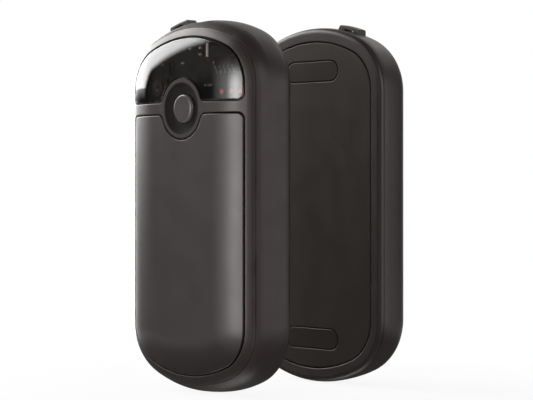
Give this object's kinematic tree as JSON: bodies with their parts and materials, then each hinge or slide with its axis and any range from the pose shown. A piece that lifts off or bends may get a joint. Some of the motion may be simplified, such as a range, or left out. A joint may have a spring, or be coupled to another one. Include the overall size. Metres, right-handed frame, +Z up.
{
  "type": "rechargeable hand warmer",
  "caption": "Pair of palm-sized rechargeable hand warmers with crowned fronts, smoked windows, press buttons and flat mating faces that join by magnets.",
  "frame": {"origin": "centre of the left unit's flat mating face", "axes": "+Z up the units' length, +Y out of the left unit's mating face towards the right unit, +X to the right for someone who looks at the left unit's front"},
  "size_m": [0.052, 0.0612, 0.0965],
  "materials": {
    "case": "fine matte, warm dark grey",
    "heat_panel": "satin anodised, warm dark grey",
    "inset": "matte, flush with the plate",
    "magnet": "nickel plated",
    "smoked_lens": "glossy, smoked and see-through",
    "button": "satin",
    "switch_plunger": "plain",
    "switch_case": "plain",
    "circuit_board": "black solder mask",
    "chip": "moulded black",
    "pale_chip": "pale ceramic",
    "red_light": "red, clear lens",
    "white_light": "white diffuser",
    "socket_metal": "drawn steel",
    "socket_tongue": "moulded black",
    "cell_foil": "laminated foil pouch",
    "wire": "red insulation",
    "foam": "closed-cell foam",
    "heater_film": "amber film",
    "sensor": "epoxy bead",
    "chassis": "moulded dark grey",
    "screw": "zinc plated"
  },
  "bodies": {
    "left_unit": {"left_shell": "case", "left_rear_frame": "case", "left_front_bezel": "case", "left_back_plate": "heat_panel", "left_front_plate": "heat_panel", "left_magnet_covers": "inset", "left_magnets": "magnet", "left_window": "smoked_lens", "left_tact_switch": "switch_case", "left_main_board": "circuit_board", "left_board_chips": "chip", "left_board_passives": "pale_chip", "left_status_leds": "red_light", "left_light_bar": "white_light", "left_usb_shell": "socket_metal", "left_usb_tongue": "socket_tongue", "left_battery_cell": "cell_foil", "left_battery_leads": "wire", "left_front_heater_leads": "wire", "left_rear_heater_leads": "wire", "left_front_pad": "foam", "left_rear_pad": "foam", "left_front_heater": "heater_film", "left_rear_heater": "heater_film", "left_thermistor": "sensor", "left_chassis": "chassis", "left_case_screws": "screw", "left_board_screws": "screw"},
    "left_button": {"left_button_cap": "button", "left_switch_plunger": "switch_plunger"},
    "right_unit": {"right_shell": "case", "right_rear_frame": "case", "right_front_bezel": "case", "right_back_plate": "heat_panel", "right_front_plate": "heat_panel", "right_magnet_covers": "inset", "right_magnets": "magnet", "right_window": "smoked_lens", "right_tact_switch": "switch_case", "right_main_board": "circuit_board", "right_board_chips": "chip", "right_board_passives": "pale_chip", "right_status_leds": "red_light", "right_light_bar": "white_light", "right_usb_shell": "socket_metal", "right_usb_tongue": "socket_tongue", "right_battery_cell": "cell_foil", "right_battery_leads": "wire", "right_front_heater_leads": "wire", "right_rear_heater_leads": "wire", "right_front_pad": "foam", "right_rear_pad": "foam", "right_front_heater": "heater_film", "right_rear_heater": "heater_film", "right_thermistor": "sensor", "right_chassis": "chassis", "right_case_screws": "screw", "right_board_screws": "screw"},
    "right_button": {"right_button_cap": "button", "right_switch_plunger": "switch_plunger"}
  },
  "joints": [
    {"name": "left_button_press", "type": "slide", "parent": "left_unit", "child": "left_button", "axis": [0, 1, 0], "range_m": [0, 0.0005], "stiffness_N_per_m": 3000, "springref_m": -0.0002},
    {"name": "pair_join", "type": "slide", "parent": "left_unit", "child": "right_unit", "axis": [0, 1, 0], "range_m": [-0.0315, 0]},
    {"name": "right_button_press", "type": "slide", "parent": "right_unit", "child": "right_button", "axis": [0, -1, 0], "range_m": [0, 0.0005], "stiffness_N_per_m": 3000, "springref_m": -0.0002}
  ]
}
